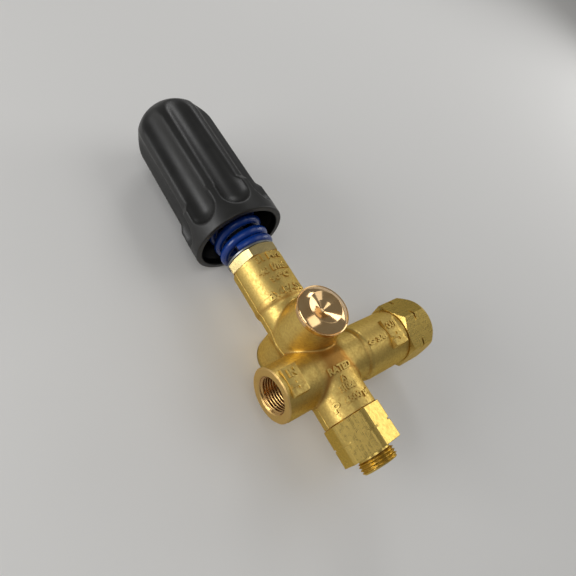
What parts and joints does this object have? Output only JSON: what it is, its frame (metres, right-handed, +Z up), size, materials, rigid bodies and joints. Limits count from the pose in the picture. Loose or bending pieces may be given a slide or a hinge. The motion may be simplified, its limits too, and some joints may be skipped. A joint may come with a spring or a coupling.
{
  "type": "pressure washer unloader valve",
  "caption": "Brass unloader valve with threaded inlet, outlet and by-pass ports, a sprung stem and a deep fluted knob that sets the pressure.",
  "frame": {"origin": "centre of the inlet mouth, on the inlet face", "axes": "+Z runs up the main axis towards the knob, +X from the inlet to the outlet along their common axis, -Y towards the domed plug"},
  "size_m": [0.0892, 0.0498, 0.2035],
  "materials": {
    "forged_brass": "satin forged and blasted brass",
    "turned_brass": "bright turned brass",
    "bar_brass": "drawn hexagonal brass bar, slightly dull",
    "polished_brass": "polished turned brass",
    "black_plastic": "charcoal glass-filled plastic, satin",
    "blue_paint": "glossy blue painted spring steel",
    "bright_steel": "zinc plated or stainless steel",
    "seal_rubber": "black nitrile rubber",
    "white_plastic": "white sealing plastic"
  },
  "bodies": {
    "root": {"valve_body": "forged_brass", "gland_nut": "turned_brass", "gland_o_ring": "seal_rubber", "gland_backup_ring": "white_plastic", "lower_spring_washer": "bright_steel", "pressure_spring": "blue_paint", "bypass_seat": "bright_steel", "seat_o_ring": "seal_rubber", "lower_fitting": "bar_brass", "lower_fitting_o_ring": "seal_rubber", "outlet_fitting": "bar_brass", "outlet_o_ring": "seal_rubber", "check_seat": "bright_steel", "check_seat_o_ring": "seal_rubber", "check_spring": "bright_steel", "plug_washer": "turned_brass", "dome_plug": "polished_brass"},
    "stem": {"stem": "bright_steel", "stem_nut": "bright_steel", "bypass_shutter": "bright_steel", "pilot_piston": "bright_steel", "piston_backup_ring": "white_plastic", "piston_o_ring": "seal_rubber"},
    "plate": {"spring_plate": "bright_steel", "thrust_washer": "bright_steel"},
    "knob": {"knob_insert": "turned_brass", "adjusting_knob": "black_plastic"},
    "check": {"check_poppet": "white_plastic"}
  },
  "joints": [
    {"name": "stem_stroke", "type": "slide", "parent": "root", "child": "stem", "axis": [0, 0, 1], "range_m": [-0.0025, 0], "stiffness_N_per_m": 4000, "springref_m": 0.001},
    {"name": "plate_travel", "type": "slide", "parent": "stem", "child": "plate", "axis": [0, 0, -1], "range_m": [0, 0.01]},
    {"name": "knob_turn", "type": "hinge", "parent": "plate", "child": "knob", "pos_m": [0.028, 0, 0.1], "axis": [0, 0, -1], "range_deg": [0, 2880], "deforming": ["pressure_spring"]},
    {"name": "check_slide", "type": "slide", "parent": "root", "child": "check", "axis": [1, 0, 0], "range_m": [0, 0.0035], "stiffness_N_per_m": 200, "springref_m": -0.002, "deforming": ["check_spring"]}
  ],
  "couplings": [
    {"joint": "plate_travel", "follows": "knob_turn", "m_per_rad": 0.00019894}
  ]
}
